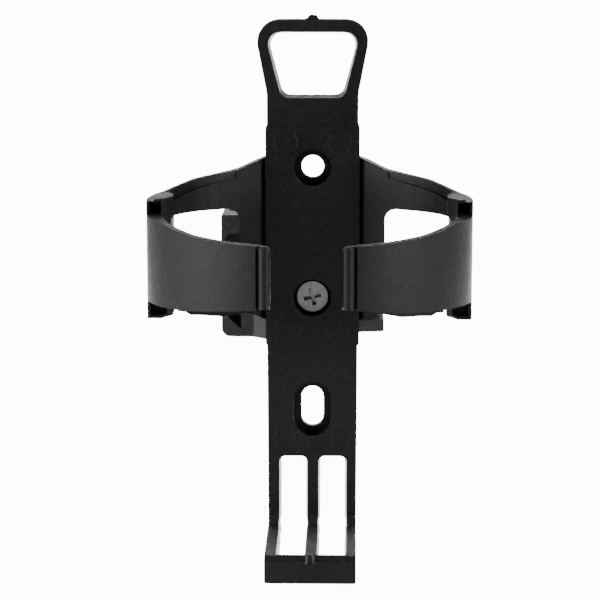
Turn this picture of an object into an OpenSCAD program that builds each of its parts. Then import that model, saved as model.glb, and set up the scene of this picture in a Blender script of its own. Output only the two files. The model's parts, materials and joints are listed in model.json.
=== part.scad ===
// Bottle cage with a swivelling quick-release tube clamp.
// X is to the right, Z is up and the bottle stands in front, towards -Y.
// The origin is on the clamped tube's axis, at the height of the swivel screw.

/* [Back plate] */
// Distance from the tube's axis to the plate's front face
plate_front = 31; // [30.5:0.1:33]
// Thickness of the plate
plate_t = 6; // [5.5:0.1:6.4]
// Width of the plate at its neck
plate_w = 23.6; // [23.2:0.1:24]
// Extra width of the middle stretch, on each side
strip_w = 0.4; // [0.3:0.1:0.6]
// Height of the loop's top above the screw
loop_top = 72.2; // [71:0.2:75]
// Width of the loop at its widest
loop_w = 29; // [28.5:0.1:30]
// Width of the loop's bar
loop_bar = 3.1; // [2.8:0.1:3.4]

/* [Frame bolts] */
// Distance between the two frame bolts
boss_pitch = 64; // [63:0.1:65]
// Height of the upper bolt hole above the screw
upper_hole_z = 34.1; // [33.9:0.1:34.4]
// Diameter of the bolt holes
bolt_hole_d = 5.9; // [5.4:0.1:6.1]
// Diameter of the counterbores
counterbore_d = 9.8; // [9.5:0.1:10]
// Depth of the counterbores
counterbore_depth = 4.2; // [3.6:0.1:4.4]
// Length of the lower slot, end to end
slot_l = 10.9; // [9.5:0.1:11.2]

/* [Arms] */
// Radius inside the arms, where the bottle stands
bottle_r = 35.8; // [35.6:0.1:36]
// Thickness of the arms' wall
arm_t = 3.6; // [3.4:0.1:3.8]
// Distance from the plate's front to the bottle's axis
bottle_y = 38; // [37.5:0.1:38.5]
// Half of the gap between the two tips
tip_half_gap = 8.2; // [7.8:0.1:8.8]
// Thickness of the front bands
band_t = 2.8; // [2.4:0.1:3]

/* [Foot] */
// Reach of the foot in front of the plate
foot_reach = 31.5; // [30:0.5:33]
// Height of the foot's top face below the screw
foot_drop = 60.8; // [60.2:0.1:61.4]
// Thickness of the foot's shelf
foot_t = 4.2; // [3.8:0.1:4.6]
// Height of the lip, from the shelf's top face down
lip_h = 7.1; // [6.4:0.1:7.4]

/* [Tube clamp] */
// Diameter of the tube that the clamp holds
tube_d = 22.2; // [21.6:0.1:22.6]
// Thickness of the rubber liners
liner_t = 1.6; // [1.4:0.1:1.8]
// Height of the clamp
clamp_h = 33; // [32.5:0.5:34]
// Height of the clamp's middle above the screw
clamp_z = 3.3; // [3.1:0.1:3.5]
// Reach of the latch block to the left
latch_reach = 24.6; // [24.4:0.1:25.2]
// Reach of the hinge cheeks to the right
hinge_reach = 19; // [18.9:0.1:19.1]
// Gap between the clamp's two halves
clamp_gap = 1.2; // [1:0.1:1.4]

/* [Hidden] */
$fn = 64;
eps = 0.01;

plate_back = plate_front - plate_t;
slot_z = upper_hole_z - boss_pitch;
arm_r = bottle_r + arm_t;
axis_y = -plate_front - bottle_y;
wide_w = plate_w + 2 * strip_w;
wide_rise = 0.25;
wide_top = 45.2;
wide_bottom = -12.6;
foot_z = -foot_drop;
lip_y = -plate_front - foot_reach;
lip_t = 2.3;
window_top = -42.6;
window_in = 1.45;
window_out = 8.9;
window_shift = 0.2;
draft = 0.45;

// Ejector pin marks on the plate's front: [x, z, diameter, true on the raised stretch]
pin_marks = [
    [-6.95, 40.7, 6.2, true], [6.95, 40.7, 6.2, true], [0, 15.5, 8.1, true],
    [-6.5, -8.8, 6.2, true], [6.8, -8.8, 6.2, true],
    [-7.3, -38.2, 5.8, false], [7.6, -38.2, 5.8, false]
];

// Arms
wing_y = -29.2;
kink_x = 19.4;
post_front = axis_y - 4.4;
post_in = 33.4;
bead_r = 1.3;

// The screw that the cage turns on
screw_d = 5;
screw_head_d = 8.3;
screw_head_h = 2.4;
screw_hole_d = 5.3;
screw_pocket_d = 9.8;
screw_pocket_depth = 4.5;
screw_end = -13.6;

// Swivel stack behind the plate
disc_d = 24;
disc_t = 2.4;
washer_t = 1.0;
washer_d = 22;
base_front = plate_back - disc_t - washer_t;

// Clamp
tube_r = tube_d / 2;
saddle_r = tube_r + liner_t;
clamp_low = clamp_z - clamp_h / 2;
clamp_high = clamp_z + clamp_h / 2;
cheek_t = 3.1;
cheek_inset = 0.8;
cheek_low = clamp_low + cheek_inset;
cheek_high = clamp_high - cheek_inset;
hinge_r = 3;
hinge_x = hinge_reach - hinge_r;
hinge_y = -0.5;
hinge_pin_d = 3;
pin_fit = 0.05;
clip_pocket = 1.3;
knuckle_gap = 0.3;
latch_x = -19.4;
latch_y = -6.2;
barrel_r = 3.6;
barrel_h = 13;
bolt_d = 5;
bolt_slot = 5.8;
block_front = -17;
block_floor = -11.6;
nut_y = -17.6;
nut_t = 4;
nut_across = 8;
ear_left = -23.6;
ear_rear = 8.2;
seat_r = 16.2;
lever_pin_y = 15.4;
lever_pin_d = 3.6;
lever_w = 15;
cam_r = lever_pin_y - latch_y - seat_r - 0.05;
cam_drop = 1.7;
cam_sweep = 120;

black = [0.07, 0.07, 0.075];
dark_grey = [0.16, 0.16, 0.17];
steel = [0.62, 0.63, 0.65];
rubber = [0.04, 0.04, 0.04];

// Points of an arc from angle a to angle b, with n steps
function arc(c, r, a, b, n = 8) =
    [for (i = [0 : n]) c + r * [cos(a + (b - a) * i / n), sin(a + (b - a) * i / n)]];

// Unit vector from a to b
function unit(a, b) = (b - a) / norm(b - a);

// Outline through corners [x, z, radius], each rounded with an arc
function rounded(c, n = 6) = [
    for (i = [0 : len(c) - 1])
        let (
            p = [c[i][0], c[i][1]],
            before = c[(i + len(c) - 1) % len(c)],
            after = c[(i + 1) % len(c)],
            u = unit(p, [before[0], before[1]]),
            v = unit(p, [after[0], after[1]]),
            half = acos(u * v) / 2,
            reach = c[i][2] / tan(half),
            centre = p + unit([0, 0], u + v) * c[i][2] / sin(half),
            start = p + u * reach - centre,
            stop = p + v * reach - centre,
            a = atan2(start[1], start[0]),
            turn = atan2(stop[1], stop[0]) - a,
            sweep = turn > 180 ? turn - 360 : (turn < -180 ? turn + 360 : turn)
        )
        for (k = [0 : n]) centre + c[i][2] * [cos(a + sweep * k / n), sin(a + sweep * k / n)]
];

// Extrudes an X-Z outline from y0 to y1
module slab(y0, y1) {
    translate([0, y1, 0])
        rotate([90, 0, 0])
            linear_extrude(y1 - y0)
                children();
}

// Cylinder along Y, from y0 to y1
module rod_y(x, z, d, y0, y1) {
    translate([x, y1, z])
        rotate([90, 0, 0])
            cylinder(h = y1 - y0, d = d);
}

// Cylinder along Z
module rod_z(x, y, d, z0, z1) {
    translate([x, y, z0])
        cylinder(h = z1 - z0, d = d);
}

// ---------------------------------------------------------------- cage

// Back plate and loop, seen from the front
module plate_outline() {
    half = plate_w / 2;
    corner = loop_w / 2;
    polygon(rounded([
        [-half + 0.2, foot_z - foot_t, 0.5], [half - 0.2, foot_z - foot_t, 0.5],
        [half, -45, 1], [half, 53.4, 9], [corner + 0.95, loop_top, 5.6],
        [-corner - 0.95, loop_top, 5.6], [-half, 53.4, 9], [-half, -45, 1]
    ]));
}

// Opening of the loop, smaller by inset all round
module loop_opening(inset) {
    top = loop_top - loop_bar - inset;
    low = 52.2 + inset;
    side = loop_w / 2 - loop_bar + 1 - inset;
    polygon(rounded([
        [-8.1 + inset, low, 2.6], [8.1 - inset, low, 2.6], [side, top, 3.2], [-side, top, 3.2]
    ]));
}

// One window of the foot on side s, seen from the front
module window_outline(s, inset) {
    inner = s * (window_in + inset) + window_shift;
    outer = s * (window_out - inset) + window_shift;
    low = foot_z - foot_t - 2;
    polygon(rounded([
        [inner, low, 0.4], [outer, low, 0.4],
        [outer, window_top - inset, 1.7], [inner, window_top - inset, 1.7]
    ]));
}

// Upright slot with round ends, centred on the slot's place
module slot_outline(d) {
    travel = slot_l - bolt_hole_d;
    for (z = [slot_z - travel / 2, slot_z + travel / 2])
        translate([0, z]) circle(d = d);
    translate([-d / 2, slot_z - travel / 2]) square([d, travel]);
}

module plate_body() {
    half = wide_w / 2;
    slab(-plate_front, -plate_back)
        plate_outline();
    slab(-plate_front - wide_rise, -plate_back)
        polygon(rounded([
            [-half, wide_bottom, 0.6], [half, wide_bottom, 0.6],
            [half, wide_top, 0.8], [-half, wide_top, 0.8]
        ]));
}

// Tapered openings of the loop and the foot, narrower at the back and at the bottom
module drafted_openings() {
    front = -plate_front - 0.1;
    back = -plate_back + 0.1;
    hull() {
        slab(front, front + eps) loop_opening(0);
        slab(back - eps, back) loop_opening(draft);
    }
    for (s = [-1, 1]) {
        hull() {
            slab(front - 3, front - 3 + eps) window_outline(s, -draft / 2);
            slab(back - eps, back) window_outline(s, draft);
        }
        hull() {
            translate([0, 0, foot_z]) linear_extrude(0.1) shelf_window(s, 0);
            translate([0, 0, foot_z - foot_t - 0.1]) linear_extrude(eps) shelf_window(s, draft);
        }
    }
}

// Witness rings that the ejector pins leave
module ejector_marks() {
    for (m = pin_marks) {
        front = -plate_front - (m[3] ? wide_rise : 0);
        difference() {
            rod_y(m[0], m[1], m[2], front - 1, front + 0.14);
            rod_y(m[0], m[1], m[2] - 0.5, front - 2, front + 1);
        }
    }
}

// Holes and counterbores through the plate
module plate_holes() {
    front = -plate_front - 1;
    back = -plate_back + 1;
    floor_y = -plate_front + counterbore_depth;
    rod_y(0, upper_hole_z, bolt_hole_d, front, back);
    rod_y(0, upper_hole_z, counterbore_d, front, floor_y);
    rod_y(0, 0, screw_hole_d, front, back);
    rod_y(0, 0, screw_pocket_d, front, -plate_front + screw_pocket_depth);
    slab(front, back) slot_outline(bolt_hole_d);
    slab(front, floor_y) slot_outline(counterbore_d);
}

// One window of the shelf on side s, seen from above
module shelf_window(s, inset) {
    inner = s * (window_in + inset) + window_shift;
    outer = s * (window_out - inset) + window_shift;
    front = lip_y + lip_t + inset;
    polygon(rounded([
        [inner, front, 0.5], [outer, front, 0.5],
        [outer, -plate_back + 1, 0.2], [inner, -plate_back + 1, 0.2]
    ]));
}

// Shelf with its lip, and the facet where it bends up into the plate
module foot() {
    half = plate_w / 2 - 0.2;
    low = foot_z - lip_h;
    translate([-half, lip_y + 2, foot_z - foot_t])
        cube([2 * half, foot_reach - 1, foot_t]);
    intersection() {
        translate([-half, 0, 0])
            rotate([90, 0, 90])
                linear_extrude(2 * half)
                    polygon(rounded([
                        [lip_y, low, 0.5], [lip_y + lip_t + 0.6, low, 0.4],
                        [lip_y + lip_t + 0.6, foot_z, 0.1], [lip_y, foot_z, 1.5]
                    ]));
        slab(lip_y - 1, lip_y + 5)
            polygon(rounded([
                [-half, low, 0.8], [half, low, 0.8], [half, foot_z, 0.5], [-half, foot_z, 0.5]
            ]));
    }
    translate([-half + 0.3, -plate_front, foot_z])
        rotate([90, 0, 90])
            linear_extrude(2 * half - 0.6)
                polygon([[-2.2, -0.5], [0.5, -0.5], [0.5, 1.9], [0, 1.9], [-2.2, 0]]);
}

// Side outline of the rear struts: the top edge falls from the plate to the corner post
module strut_outline() {
    upper = [
        [11, 37.2], [kink_x, 34.2], [25.6, 33.5], [30.2, 32.9], [33.7, 31.9],
        [36.9, 31.1], [40, 31.1]
    ];
    lower = [
        [40, 2.5], [33.4, 2.5], [33.2, 0.9], [31.7, 0.2], [30.4, -1.1], [23, -3.1],
        [17.3, -3.3], [15, -4.2], [11, -6.9]
    ];
    for (s = [0, 1])
        mirror([s, 0])
            polygon(concat(upper, lower));
}

// Window in each strut, between the wing and the corner post
module strut_windows() {
    for (s = [0, 1])
        mirror([s, 0])
            polygon(rounded([
                [18.7, 5.6, 3.2], [34.4, 5.6, 1], [34.4, 25.4, 0.8], [18.7, 24.5, 3.2]
            ]));
}

// Side outline of the front bands, from the corner posts to the tips
module band_outline() {
    top = [
        [40, 27.8], [37, 28.1], [34.5, 28.1], [31.5, 27.2], [26.2, 26.2], [19.2, 25.7],
        [12.5, 25.5]
    ];
    bottom = [[12.5, 10.6], [19.2, 9.9], [27.7, 8.8], [35.4, 8], [38, 7.6], [40, 6.5]];
    for (s = [0, 1])
        mirror([s, 0])
            polygon(concat(
                top, arc([tip_half_gap + 1, 24.3], 1, 90, 180, 4),
                arc([tip_half_gap + 1, 12], 1, 180, 270, 4), bottom
            ));
}

// Ring around the bottle, in the height range of the arms
module arm_ring(inner, outer, low = -10, high = 42) {
    translate([0, axis_y, low])
        difference() {
            cylinder(h = high - low, r = outer, $fn = 128);
            translate([0, 0, -1])
                cylinder(h = high - low + 2, r = inner, $fn = 128);
        }
}

// Flat walls that carry the struts from the plate's sides to the ring
module wings() {
    // Where the flat wall runs into the ring
    turn = atan2(wing_y - axis_y, plate_w / 2)
        - acos(bottle_r / norm([plate_w / 2, wing_y - axis_y]));
    way = [cos(turn), sin(turn)];
    for (s = [0, 1])
        mirror([s, 0, 0])
            translate([0, 0, -10])
                linear_extrude(52)
                    polygon([
                        [plate_w / 2 - 2, wing_y], [plate_w / 2, wing_y],
                        [0, axis_y] + (bottle_r - 0.07) * way,
                        [0, axis_y] + (bottle_r + 1.4) * way,
                        [0, axis_y] + (arm_r - 0.7) * way,
                        [plate_w / 2 + 3.2, -plate_back - 1.2], [plate_w / 2 + 1.6, -plate_back],
                        [plate_w / 2 - 2, -plate_back]
                    ]);
}

// Thickened end of a corner post on side s, from z0 to z1, with a facet inside
module post_block(s, z0, z1) {
    mirror([s, 0, 0])
        translate([0, 0, z0])
            linear_extrude(z1 - z0)
                polygon([
                    [36, post_front], [37.4, post_front], [37.4, axis_y + 8],
                    [post_in + 1, axis_y + 8], [post_in, axis_y + 5], [post_in, axis_y]
                ]);
}

module rear_struts() {
    difference() {
        union() {
            intersection() {
                union() {
                    wings();
                    difference() {
                        arm_ring(bottle_r, arm_r);
                        translate([-24, axis_y, -11]) cube([48, 60, 60]);
                    }
                }
                slab(post_front, -plate_back)
                    strut_outline();
            }
            for (s = [0, 1]) {
                post_block(s, 27.4, 31.6);
                post_block(s, 2.5, 6.8);
            }
        }
        slab(axis_y + 9, -plate_back + 1)
            strut_windows();
        // Rebate along the inner top edge
        intersection() {
            arm_ring(bottle_r - 6, bottle_r + 1.6);
            slab(axis_y + 9.6, -plate_front - 3)
                for (s = [0, 1])
                    mirror([s, 0])
                        polygon([
                            [kink_x + 0.2, 32.4], [23.8, 31.6], [28.3, 30.8], [31.5, 30],
                            [33.7, 29.2], [36, 28.4], [38, 40], [kink_x - 1, 40]
                        ]);
        }
        // Blind pockets in the two ends of the corner posts
        for (s = [0, 1])
            mirror([s, 0, 0]) {
                translate([35.6, post_front - 2, 28])
                    cube([2.9, 5.2, 2.9]);
                translate([34.6, post_front - 2, 3.1])
                    cube([3.9, 5.2, 2.9]);
            }
    }
}

module front_bands() {
    intersection() {
        union() {
            difference() {
                arm_ring(arm_r - band_t, arm_r);
                translate([-60, axis_y, -11]) cube([120, 60, 60]);
            }
            difference() {
                arm_ring(bottle_r, arm_r);
                translate([-60, axis_y, -11]) cube([120, 60, 60]);
                translate([-60, post_front - 80, -11]) cube([120, 80, 60]);
            }
        }
        slab(axis_y - 50, axis_y)
            band_outline();
    }
    // Rolled beads at the tips
    for (s = [-1, 1])
        translate([s * (tip_half_gap + bead_r), axis_y - arm_r + bead_r + 0.2, 11.1])
            cylinder(h = 14, r = bead_r);
}

// Grooves beside the beads
module bead_grooves() {
    x = tip_half_gap + 2 * bead_r + 0.1;
    for (s = [-1, 1])
        translate([s * x, axis_y - sqrt(arm_r * arm_r - x * x), 9])
            cylinder(h = 20, r = 0.6);
}

// Moulded gate stubs on the loop and on the foot's lip
module gate_stubs() {
    slab(-plate_front + 1.2, -plate_front + 3.4)
        polygon([
            [-2.6, loop_top - 0.5], [2.2, loop_top - 0.5], [1.4, loop_top + 0.4],
            [1, loop_top + 1.1], [-0.7, loop_top + 1.2], [-1.4, loop_top + 0.5]
        ]);
    translate([0, lip_y + 1.5, foot_z - 1.7])
        cylinder(h = 2.2, r1 = 2.1, r2 = 1.2);
}

module cage_frame() {
    color(black)
        difference() {
            union() {
                plate_body();
                foot();
                rear_struts();
                front_bands();
                gate_stubs();
            }
            drafted_openings();
            ejector_marks();
            bead_grooves();
            plate_holes();
        }
}

// Disc with a square key, screwed up against the plate's back
module index_disc() {
    color(black)
        difference() {
            rod_y(0, 0, disc_d, -plate_back, -plate_back + disc_t);
            rod_y(0, 0, screw_hole_d, -plate_back - 1, -plate_back + disc_t + 1);
            for (i = [0 : 7])
                rotate([0, i * 45, 0])
                    rod_y(0, 8.4, 3, -plate_back + disc_t - 1, -plate_back + disc_t + 1);
        }
}

module cage_screw() {
    head_y = -plate_front + screw_pocket_depth;
    color(steel)
        difference() {
            union() {
                rod_y(0, 0, screw_head_d, head_y - screw_head_h, head_y);
                rod_y(0, 0, screw_d, head_y - eps, screw_end);
            }
            for (i = [0, 90])
                rotate([0, i - 14, 0])
                    translate([-2.3, head_y - screw_head_h - 1, -0.5])
                        cube([4.6, 2.5, 1]);
        }
}

// Rubber friction washer between the disc and the clamp
module swivel_washer() {
    color(rubber)
        difference() {
            rod_y(0, 0, washer_d, -base_front - washer_t, -base_front);
            rod_y(0, 0, screw_hole_d, -base_front - washer_t - 1, -base_front + 1);
        }
}

// ---------------------------------------------------------------- clamp

module captive_nut() {
    color(steel)
        difference() {
            translate([0, nut_y + nut_t, 0])
                rotate([90, 0, 0])
                    cylinder(h = nut_t, d = nut_across / cos(30), $fn = 6);
            rod_y(0, 0, screw_d, nut_y - 1, nut_y + nut_t + 1);
        }
}

// Block with the saddle, the hinge cheeks and the latch pocket
module clamp_base() {
    mate = -clamp_gap / 2;
    color(dark_grey)
        difference() {
            union() {
                // Saddle block
                translate([0, 0, clamp_low])
                    linear_extrude(clamp_h)
                        polygon([
                            [-16, -base_front + 4], [-11, -base_front], [10.4, -base_front],
                            [11.6, -base_front + 5], [11.8, -9], [13.6, -4.5], [13.6, mate],
                            [-16, mate]
                        ]);
                // Latch block
                slab(block_front, mate)
                    polygon(rounded([
                        [-latch_reach, clamp_low, 2.3], [-14, clamp_low, 0.2],
                        [-14, clamp_high, 0.2], [-latch_reach, clamp_high, 0.4]
                    ]));
                // Hinge cheeks
                for (z = [cheek_low, cheek_high - cheek_t])
                    translate([0, 0, z])
                        linear_extrude(cheek_t)
                            polygon([
                                [8, -15], [hinge_reach, -13], [hinge_reach, 1.6],
                                [hinge_reach - 1, 2.6], [hinge_x - 2, 2.6], [12.8, mate]
                            ]);
            }
            // Seat of the liner
            rod_z(0, 0, 2 * saddle_r, clamp_low - 1, clamp_high + 1);
            // Room for the jaw's knuckle between the cheeks
            translate([hinge_x, hinge_y, cheek_low + cheek_t])
                cylinder(h = cheek_high - cheek_low - 2 * cheek_t, r = hinge_r + knuckle_gap + 0.1);
            rod_z(hinge_x, hinge_y, hinge_pin_d, clamp_low - 1, clamp_high + 1);
            rod_z(hinge_x, hinge_y, 5.2, cheek_low - 1, cheek_low + clip_pocket);
            // Screw hole, and the hexagonal pocket that the nut drops into
            rod_y(0, 0, screw_d + 0.3, -base_front - 1, 0);
            rotate([90, 0, 0])
                translate([0, 0, 8])
                    cylinder(h = -nut_y - 8, d = nut_across / cos(30), $fn = 6);
            // Round lightening pocket in the latch block's face
            intersection() {
                rod_y(-9.5, clamp_z, 34.8, block_front - 1, block_floor);
                translate([-30, -30, clamp_low + 0.8]) cube([10.6, 30, clamp_h - 5.9]);
            }
            translate([-15.2, block_front - 1, clamp_low + 2.6]) cube([5, 5, 8]);
            // Bore of the barrel nut, open at the top
            rod_z(latch_x, latch_y, 2 * (barrel_r + pin_fit), clamp_z - barrel_h / 2, clamp_high + 1);
            // Slot that the tension bolt swings in
            translate([-30, latch_y - bolt_slot / 2, clamp_z - bolt_slot / 2])
                cube([30 + latch_x + bolt_slot / 2, 12, bolt_slot]);
        }
}

module liner(y0, y1) {
    color(rubber)
        intersection() {
            difference() {
                rod_z(0, 0, 2 * saddle_r, clamp_low + 0.6, clamp_high - 0.6);
                rod_z(0, 0, tube_d, clamp_low - 1, clamp_high + 1);
            }
            translate([-20, y0, clamp_low]) cube([40, y1 - y0, clamp_h]);
        }
}

module base_liner() {
    liner(-20, -clamp_gap / 2);
}

module jaw_liner() {
    liner(clamp_gap / 2, 20);
}

// Headed pin through both cheeks and the jaw's knuckle
module hinge_pin() {
    color(steel) {
        rod_z(hinge_x, hinge_y, hinge_pin_d, cheek_low + 0.2, cheek_high + eps);
        rod_z(hinge_x, hinge_y, 5.4, cheek_high, cheek_high + 1.1);
    }
}

// Push-on ring that keeps the pin in, sunk in the lower cheek
module hinge_pin_clip() {
    color(steel)
        difference() {
            rod_z(hinge_x, hinge_y, 5, cheek_low + 0.5, cheek_low + clip_pocket);
            rod_z(hinge_x, hinge_y, hinge_pin_d, cheek_low - 1, cheek_low + 3);
        }
}

// Hinged rear half
module clamp_jaw() {
    mate = clamp_gap / 2;
    jaw_low = cheek_low + cheek_t + knuckle_gap;
    jaw_h = cheek_high - cheek_low - 2 * cheek_t - 2 * knuckle_gap;
    color(dark_grey)
        difference() {
            union() {
                translate([0, 0, jaw_low])
                    linear_extrude(jaw_h)
                        difference() {
                            union() {
                                intersection() {
                                    circle(r = saddle_r + 3.4, $fn = 96);
                                    translate([-20, mate]) square([40, 30]);
                                }
                                translate([ear_left, mate]) square([12, ear_rear - mate]);
                            }
                            circle(r = saddle_r, $fn = 96);
                        }
                translate([hinge_x, hinge_y, jaw_low])
                    cylinder(h = jaw_h, r = hinge_r);
                translate([0, 0, jaw_low])
                    linear_extrude(jaw_h)
                        polygon([[13.2, 1], [hinge_x + 2.4, 1], [14.6, 7], [11, 11]]);
            }
            rod_z(0, 0, 2 * saddle_r, jaw_low - 1, jaw_low + jaw_h + 1);
            rod_z(hinge_x, hinge_y, hinge_pin_d + 2 * pin_fit, jaw_low - 1, jaw_low + jaw_h + 1);
            // Open slot for the tension bolt
            translate([-30, -1, clamp_z - bolt_slot / 2])
                cube([30 + latch_x + bolt_slot / 2, 20, bolt_slot]);
        }
}

// Forked wear plate on the latch ear, rounded about the bolt's pivot
module cam_seat() {
    seat_low = clamp_z - lever_w / 2 - 0.8;
    seat_high = clamp_z + lever_w / 2 + 0.8;
    color(steel)
        difference() {
            intersection() {
                translate([ear_left, ear_rear, seat_low])
                    cube([9.4, 4, seat_high - seat_low]);
                rod_z(latch_x, latch_y, 2 * seat_r, seat_low - 1, seat_high + 1);
            }
            translate([ear_left - 1, ear_rear - 1, clamp_z - bolt_slot / 2])
                cube([latch_x + bolt_slot / 2 - ear_left + 1, 6, bolt_slot]);
        }
}

// Round cross dowel, threaded for the bolt
module barrel_nut() {
    color(steel)
        difference() {
            rod_z(latch_x, latch_y, 2 * barrel_r, clamp_z - barrel_h / 2 + 0.1, clamp_z + barrel_h / 2);
            rod_y(latch_x, clamp_z, bolt_d, latch_y - 8, latch_y + 8);
        }
}

// Bolt from the barrel nut to the eye that the lever's pin runs through
module tension_bolt() {
    eye_h = 4.8;
    color(steel)
        difference() {
            union() {
                rod_y(latch_x, clamp_z, bolt_d, latch_y - 2.4, lever_pin_y - 2);
                rod_z(latch_x, lever_pin_y, 6.8, clamp_z - eye_h / 2, clamp_z + eye_h / 2);
            }
            rod_z(latch_x, lever_pin_y, lever_pin_d, clamp_z - 5, clamp_z + 5);
        }
}

// Headed pin through the lever's cheeks and the bolt's eye
module lever_pin() {
    half = lever_w / 2;
    color(steel) {
        rod_z(latch_x, lever_pin_y, lever_pin_d, clamp_z - half - 1.2, clamp_z + half + 0.15);
        rod_z(latch_x, lever_pin_y, 5.6, clamp_z + half + 0.1, clamp_z + half + 1);
    }
}

module lever_pin_clip() {
    half = lever_w / 2;
    color(steel)
        difference() {
            rod_z(latch_x, lever_pin_y, 5.4, clamp_z - half - 0.9, clamp_z - half - 0.1);
            rod_z(latch_x, lever_pin_y, lever_pin_d, clamp_z - half - 2, clamp_z);
        }
}

// Cam profile: the radius falls steadily over the lever's stroke
function cam_profile(n = 24) = [
    for (i = [0 : n - 1])
        let (turn = 360 * i / n, stroke = min(turn, cam_sweep) / cam_sweep)
        (cam_r - cam_drop * (turn < 240 ? stroke : (300 - min(turn, 300)) / 60))
            * [cos(-90 - turn), sin(-90 - turn)]
];

// Lever with two spiral cam cheeks, its handle laid along the jaw's back
module cam_lever() {
    color(black)
        difference() {
            union() {
                translate([latch_x, lever_pin_y, clamp_z - lever_w / 2])
                    linear_extrude(lever_w)
                        polygon(cam_profile());
                translate([0, 0, clamp_z - lever_w / 2])
                    linear_extrude(lever_w)
                        polygon(concat(
                            [[latch_x + 2, lever_pin_y - 1.8]], arc([0, 0], 20.2, 118, 52, 8),
                            [[16, 17.2], [17.4, 19.2]], arc([0, 0], 24.2, 56, 124, 8),
                            [[latch_x - 1, lever_pin_y + 3.6]]
                        ));
            }
            // Fork for the bolt's eye
            translate([latch_x - 8, 6, clamp_z - 2.8])
                cube([12.6, 20, 5.6]);
            rod_z(latch_x, lever_pin_y, lever_pin_d + 2 * pin_fit, clamp_z - 12, clamp_z + 12);
        }
}

cage_frame();
index_disc();
cage_screw();
swivel_washer();
captive_nut();
clamp_base();
base_liner();
hinge_pin();
hinge_pin_clip();
clamp_jaw();
jaw_liner();
cam_seat();
barrel_nut();
tension_bolt();
lever_pin();
lever_pin_clip();
cam_lever();
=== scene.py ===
"""Looks of the swivelling bottle cage: materials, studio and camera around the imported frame."""
import json
import math
import random

import bmesh
import bpy
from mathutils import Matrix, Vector


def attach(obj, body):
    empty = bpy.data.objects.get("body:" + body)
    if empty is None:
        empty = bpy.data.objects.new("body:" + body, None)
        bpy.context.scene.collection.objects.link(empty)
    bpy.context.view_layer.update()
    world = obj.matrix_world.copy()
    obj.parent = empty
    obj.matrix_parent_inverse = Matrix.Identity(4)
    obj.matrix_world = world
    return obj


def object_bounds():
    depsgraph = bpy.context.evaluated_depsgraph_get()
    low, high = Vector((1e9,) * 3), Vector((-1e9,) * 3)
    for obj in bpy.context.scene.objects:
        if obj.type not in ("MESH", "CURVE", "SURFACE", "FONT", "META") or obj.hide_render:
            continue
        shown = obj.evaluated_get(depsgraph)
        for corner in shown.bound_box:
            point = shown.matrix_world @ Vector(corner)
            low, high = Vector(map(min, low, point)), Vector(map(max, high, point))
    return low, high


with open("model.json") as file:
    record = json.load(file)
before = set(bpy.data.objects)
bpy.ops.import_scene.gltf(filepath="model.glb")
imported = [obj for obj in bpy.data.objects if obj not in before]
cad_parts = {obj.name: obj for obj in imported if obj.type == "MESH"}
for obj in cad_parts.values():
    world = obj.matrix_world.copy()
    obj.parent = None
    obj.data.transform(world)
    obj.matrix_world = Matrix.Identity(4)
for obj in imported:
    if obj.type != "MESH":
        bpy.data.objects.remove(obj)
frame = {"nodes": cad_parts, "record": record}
cad_low, cad_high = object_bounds()

MM = 0.001
NODES = frame["nodes"]

# ------------------------------------------------------------------ camera

CAMERA_PLACE = Vector((9.9, -581, 100)) * MM
CAMERA_TARGET = Vector((-3.235, -31, -0.58)) * MM
CAMERA_LENS = 128.26
SENSOR_WIDTH = 36


def make_camera():
    """Long lens above and a little to the right of the cage, looking down at it."""
    data = bpy.data.cameras.new("camera")
    data.lens = CAMERA_LENS
    data.sensor_width = SENSOR_WIDTH
    camera = bpy.data.objects.new("camera", data)
    bpy.context.scene.collection.objects.link(camera)
    camera.location = CAMERA_PLACE
    camera.rotation_euler = (CAMERA_TARGET - CAMERA_PLACE).to_track_quat("-Z", "Y").to_euler()
    bpy.context.scene.camera = camera


# --------------------------------------------------------------- materials


class Graph:
    """Small helper that adds and links shader nodes."""

    def __init__(self, name):
        self.material = bpy.data.materials.new(name)
        self.material.use_nodes = True
        self.tree = self.material.node_tree
        self.shader = self.tree.nodes["Principled BSDF"]

    def add(self, kind, inputs=None, **settings):
        node = self.tree.nodes.new(kind)
        for key, value in settings.items():
            setattr(node, key, value)
        for key, value in (inputs or {}).items():
            self.set(node, key, value)
        return node

    def set(self, node, key, value):
        if isinstance(value, bpy.types.NodeSocket):
            self.tree.links.new(value, node.inputs[key])
        else:
            node.inputs[key].default_value = value

    def place(self):
        """Object coordinates in metres."""
        return self.add("ShaderNodeTexCoord").outputs["Object"]

    def noise(self, scale, detail=2, roughness=0.5, vector=None):
        """Noise whose features are about 1/scale metres across."""
        inputs = {"Vector": vector or self.place(), "Scale": scale, "Detail": detail}
        inputs["Roughness"] = roughness
        return self.add("ShaderNodeTexNoise", inputs).outputs["Fac"]

    def ramp(self, fac, low, high, start=0.0, stop=1.0):
        """Maps fac from start..stop to low..high."""
        return self.remap(fac, start, stop, low, high, "LINEAR")

    def smooth(self, value, start, stop, low, high):
        """Smooth step of value between start and stop, from low to high."""
        return self.remap(value, start, stop, low, high, "SMOOTHSTEP")

    def remap(self, value, start, stop, low, high, kind):
        inputs = {"Value": value, "From Min": start, "From Max": stop}
        inputs.update({"To Min": low, "To Max": high})
        return self.add("ShaderNodeMapRange", inputs, interpolation_type=kind).outputs["Result"]

    def math(self, operation, a, b=0.0):
        return self.add("ShaderNodeMath", {0: a, 1: b}, operation=operation).outputs[0]

    def mix(self, fac, a, b):
        return self.add("ShaderNodeMix", {0: fac, 6: a, 7: b}, data_type="RGBA").outputs[2]

    def bump(self, height, distance, strength=1.0, normal=None):
        inputs = {"Height": height, "Distance": distance, "Strength": strength}
        if normal is not None:
            inputs["Normal"] = normal
        return self.add("ShaderNodeBump", inputs).outputs["Normal"]


def grey(value):
    """Neutral grey with a trace of blue."""
    return (value, value, value * 1.03, 1)


SPECK_GREY = 0.05


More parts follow.
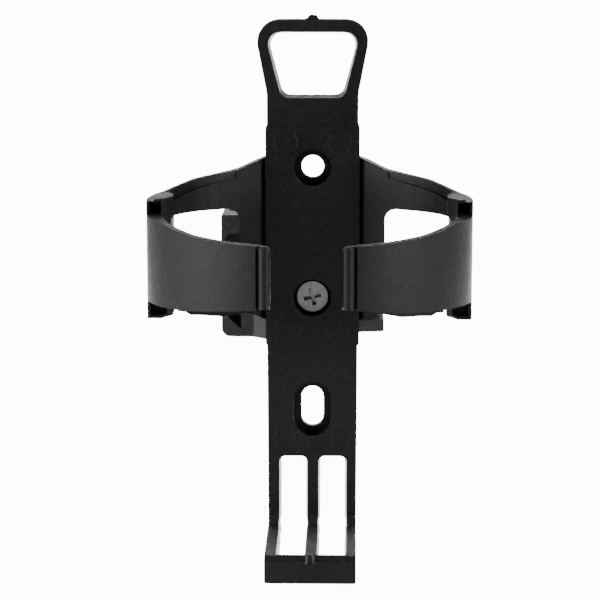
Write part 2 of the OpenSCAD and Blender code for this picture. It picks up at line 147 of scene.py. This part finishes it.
def moulded_plastic(name, dark, light, rough, speckle, grain, blotch=0.05):
    """Black nylon: spark-eroded grain, faint flow marks and tiny pale specks.

    dark and light are the base greys, speckle is the specks' strength, grain the bump's.
    """
    g = Graph(name)
    fine = g.noise(2400, 3, 0.6)
    coarse = g.noise(600, 3, 0.6)
    flow = g.noise(60, 4, 0.6)
    specks = g.ramp(g.noise(2700, 1, 0.4), 0, speckle, 0.68, 0.8)
    tone = g.math("ADD", g.ramp(flow, 0, 0.5, 0.35, 0.65), g.ramp(coarse, 0, 0.5, 0.35, 0.65))
    base = g.mix(g.ramp(tone, 0, 1), grey(dark), grey(light))
    g.set(g.shader, "Base Color", g.mix(specks, base, grey(SPECK_GREY)))
    g.set(g.shader, "Specular IOR Level", 0.2)
    gloss_spots = g.ramp(coarse, -blotch, blotch, 0.3, 0.7)
    gloss_flow = g.ramp(flow, rough - blotch, rough + blotch, 0.3, 0.7)
    g.set(g.shader, "Roughness", g.math("ADD", gloss_spots, gloss_flow))
    low_bump = g.bump(coarse, 0.0001, grain)
    g.set(g.shader, "Normal", g.bump(fine, 0.00004, grain, low_bump))
    return g.material


def plated_steel(name, base, rough):
    """Zinc-plated steel: faint grey clouding and fine marks."""
    g = Graph(name)
    cloud = g.noise(900, 4, 0.6)
    marks = g.noise(5200, 2, 0.5)
    clouding = g.ramp(cloud, 0, 1, 0.35, 0.65)
    g.set(g.shader, "Base Color", g.mix(clouding, grey(base * 0.7), grey(base)))
    g.set(g.shader, "Metallic", 1.0)
    g.set(g.shader, "Roughness", g.ramp(cloud, rough - 0.08, rough + 0.1, 0.3, 0.7))
    g.set(g.shader, "Normal", g.bump(marks, 0.00003, 0.5))
    return g.material


def black_rubber(name):
    """Matt rubber with a dusty, faintly mottled skin."""
    g = Graph(name)
    dust = g.noise(300, 4, 0.65)
    skin = g.noise(1800, 2, 0.5)
    dusting = g.ramp(dust, 0, 1, 0.4, 0.7)
    g.set(g.shader, "Base Color", g.mix(dusting, grey(0.008), grey(0.02)))
    g.set(g.shader, "Roughness", g.ramp(dust, 0.72, 0.88))
    g.set(g.shader, "Specular IOR Level", 0.3)
    g.set(g.shader, "Normal", g.bump(skin, 0.00008, 0.5))
    return g.material


def paint(node, material):
    """Gives a CAD node its one material."""
    mesh = NODES[node].data
    mesh.materials.clear()
    mesh.materials.append(material)
    for face in mesh.polygons:
        face.material_index = 0


# ------------------------------------------------------------ edge rounding


SAME_POINT = 1e-6
SAME_PLANE = math.radians(0.6)
SHARP_EDGE = math.radians(32)


def soften(node, width):
    """Rounds a CAD node's edges as a mould does."""
    piece = NODES[node]
    for face in piece.data.polygons:
        face.use_smooth = True
    weld = piece.modifiers.new("weld", "WELD")
    weld.merge_threshold = SAME_POINT
    flat = piece.modifiers.new("flat", "DECIMATE")
    flat.decimate_type = "DISSOLVE"
    flat.angle_limit = SAME_PLANE
    bevel = piece.modifiers.new("bevel", "BEVEL")
    bevel.width = width
    bevel.segments = 2
    bevel.limit_method = "ANGLE"
    bevel.angle_limit = SHARP_EDGE
    bevel.use_clamp_overlap = True
    even = piece.modifiers.new("even", "WEIGHTED_NORMAL")
    even.weight = 100
    even.keep_sharp = False


# ----------------------------------------------------------- moulding marks


TUBE_SIDES = 8


def sweep_tube(mesh, points, radius, closed=False, jitter=0.0, seed=1):
    """Adds a round bead along points, with a radius that wanders by the share jitter."""
    rng = random.Random(seed)
    rings = []
    count = len(points)
    for i, point in enumerate(points):
        after = points[(i + 1) % count] if closed or i + 1 < count else point
        before = points[i - 1] if closed or i > 0 else point
        along = (after - before).normalized()
        side = along.cross(Vector((0, 1, 0))).normalized()
        out = side.cross(along)
        r = radius * (1 + jitter * rng.uniform(-1, 1))
        ring = []
        for k in range(TUBE_SIDES):
            a = 2 * math.pi * k / TUBE_SIDES
            ring.append(mesh.verts.new(point + (side * math.cos(a) + out * math.sin(a)) * r))
        rings.append(ring)
    for i in range(count if closed else count - 1):
        first, second = rings[i], rings[(i + 1) % count]
        for k in range(TUBE_SIDES):
            n = (k + 1) % TUBE_SIDES
            mesh.faces.new((first[k], first[n], second[n], second[k]))
    if not closed:
        mesh.faces.new(rings[0])
        mesh.faces.new(reversed(rings[-1]))


def cage_piece(name, mesh, material):
    """Turns a bmesh into a piece that rides with the cage."""
    bmesh.ops.recalc_face_normals(mesh, faces=mesh.faces)
    data = bpy.data.meshes.new(name)
    mesh.to_mesh(data)
    mesh.free()
    for face in data.polygons:
        face.use_smooth = True
    data.materials.append(material)
    piece = bpy.data.objects.new(name, data)
    bpy.context.scene.collection.objects.link(piece)
    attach(piece, "cage")


# Sizes in millimetres. Each ejector pin's rim: x, z, diameter and y of the face it is on
PIN_RIMS = [
    (-6.95, 40.7, 6, -31.25), (6.95, 40.7, 6, -31.25), (0, 15.5, 7.9, -31.25),
    (-6.5, -8.8, 6, -31.25), (6.8, -8.8, 6, -31.25),
    (-7.3, -38.2, 5.6, -31), (7.6, -38.2, 5.6, -31),
]
RIM_STEPS = 48
RIM_RADIUS = 0.13
RIM_SUNK = 0.05


def make_pin_rims(material):
    """Thin raised rims round the ejector pins' marks."""
    mesh = bmesh.new()
    for x, z, across, y in PIN_RIMS:
        points = []
        for i in range(RIM_STEPS):
            a = 2 * math.pi * i / RIM_STEPS
            place = (x + across / 2 * math.cos(a), y + RIM_SUNK, z + across / 2 * math.sin(a))
            points.append(Vector(place) * MM)
        sweep_tube(mesh, points, RIM_RADIUS * MM, closed=True)
    cage_piece("ejector_rims", mesh, material)


FLASH_START = Vector((-10.6, -62.42, -62.15))
FLASH_STEP = Vector((0.53, 0, 0))
FLASH_POINTS = 41
FLASH_RADIUS = 0.15


def make_flash(material):
    """Ragged flash along the lip's top edge."""
    mesh = bmesh.new()
    points = [(FLASH_START + FLASH_STEP * i) * MM for i in range(FLASH_POINTS)]
    sweep_tube(mesh, points, FLASH_RADIUS * MM, jitter=0.6, seed=7)
    cage_piece("lip_flash", mesh, material)


# ------------------------------------------------------------------- studio


PAPER_GLOW = 12.0
PAPER_DROP = 90 * MM
PAPER_HALF = 3.0
PAPER_BACK = 1.3
PAPER_TOP = 3.0
SWEEP_RADIUS = 0.4
SWEEP_STEPS = 16


def make_floor():
    """Pale seamless floor and backdrop in one swept sheet."""
    floor_z = cad_low.z - PAPER_DROP
    bend = PAPER_BACK - SWEEP_RADIUS
    profile = [(-PAPER_HALF, 0.0), (bend, 0.0)]
    for i in range(1, SWEEP_STEPS + 1):
        a = math.pi / 2 * i / SWEEP_STEPS
        profile.append((bend + SWEEP_RADIUS * math.sin(a), SWEEP_RADIUS * (1 - math.cos(a))))
    profile.append((PAPER_BACK, PAPER_TOP))
    points = []
    for x in (-PAPER_HALF, PAPER_HALF):
        points += [(x, y, floor_z + z) for y, z in profile]
    n = len(profile)
    faces = [(i, i + 1, n + i + 1, n + i) for i in range(n - 1)]
    mesh = bpy.data.meshes.new("studio_floor")
    mesh.from_pydata(points, [], faces)
    for face in mesh.polygons:
        face.use_smooth = True
    floor = bpy.data.objects.new("studio_floor", mesh)
    bpy.context.scene.collection.objects.link(floor)
    # Painted glow: the paper's emission stands in for light from behind it; it glows behind the
    # cage and fades to the front, to the sides and upwards
    g = Graph("studio_paper")
    xyz = g.add("ShaderNodeSeparateXYZ", {"Vector": g.place()}).outputs
    across = g.smooth(g.math("ABSOLUTE", xyz["X"]), 0.26, 0.42, 1, 0)
    along = g.smooth(xyz["Y"], 0.06, 0.16, 0, 1)
    up = g.smooth(xyz["Z"], 0.04, 0.12, 1, 0)
    painted_glow = g.math("MULTIPLY", g.math("MULTIPLY", across, along), up)
    g.set(g.shader, "Base Color", (0.8, 0.8, 0.8, 1))
    g.set(g.shader, "Roughness", 0.9)
    g.set(g.shader, "Specular IOR Level", 0.1)
    g.set(g.shader, "Emission Color", (1, 1, 1, 1))
    # painted glow: emission strength that stands in for back-lighting, not a lamp
    g.set(g.shader, "Emission Strength", g.math("MULTIPLY", painted_glow, PAPER_GLOW))
    mesh.materials.append(g.material)


def area_light(name, place, target, size, power):
    """Rectangular soft box at place, turned to target."""
    data = bpy.data.lights.new(name, "AREA")
    data.shape = "RECTANGLE"
    data.size, data.size_y = size
    data.energy = power
    light = bpy.data.objects.new(name, data)
    bpy.context.scene.collection.objects.link(light)
    light.location = place
    light.rotation_euler = (Vector(target) - Vector(place)).to_track_quat("-Z", "Y").to_euler()


WORLD_LIGHT = 0.025


def make_lights():
    """Faint surrounding light, broad soft boxes at both sides and a weak one above."""
    world = bpy.data.worlds.new("studio")
    world.use_nodes = True
    background = world.node_tree.nodes["Background"]
    background.inputs["Color"].default_value = (1, 1, 1, 1)
    background.inputs["Strength"].default_value = WORLD_LIGHT
    bpy.context.scene.world = world
    area_light("left_box", (-0.8, -0.35, 0.25), (0, -0.08, 0.01), (0.8, 0.6), 18)
    area_light("right_box", (0.8, -0.42, 0.3), (0, -0.08, 0.01), (0.5, 0.5), 14)
    area_light("top_box", (0, -0.3, 0.9), (0, -0.05, 0), (0.6, 0.3), 2)


# -------------------------------------------------------------------- build

make_camera()
make_floor()
make_lights()

LOOKS = {
    "cage_plastic": moulded_plastic("cage_plastic", 0.0018, 0.0035, 0.5, 0.5, 0.6),
    "clamp_plastic": moulded_plastic("clamp_plastic", 0.014, 0.03, 0.5, 0.1, 0.5),
    "steel": plated_steel("steel", 0.28, 0.42),
    "rubber": black_rubber("rubber"),
}
for part in frame["record"]["subparts"]:
    paint(part["node"], LOOKS[part["material_slot"]])

soften("cage_frame", 0.3 * MM)
for name in ("clamp_base", "clamp_jaw", "cam_lever", "index_disc"):
    soften(name, 0.4 * MM)
for name in ("cage_screw", "hinge_pin", "lever_pin", "cam_seat"):
    soften(name, 0.15 * MM)

make_pin_rims(LOOKS["cage_plastic"])
make_flash(LOOKS["cage_plastic"])
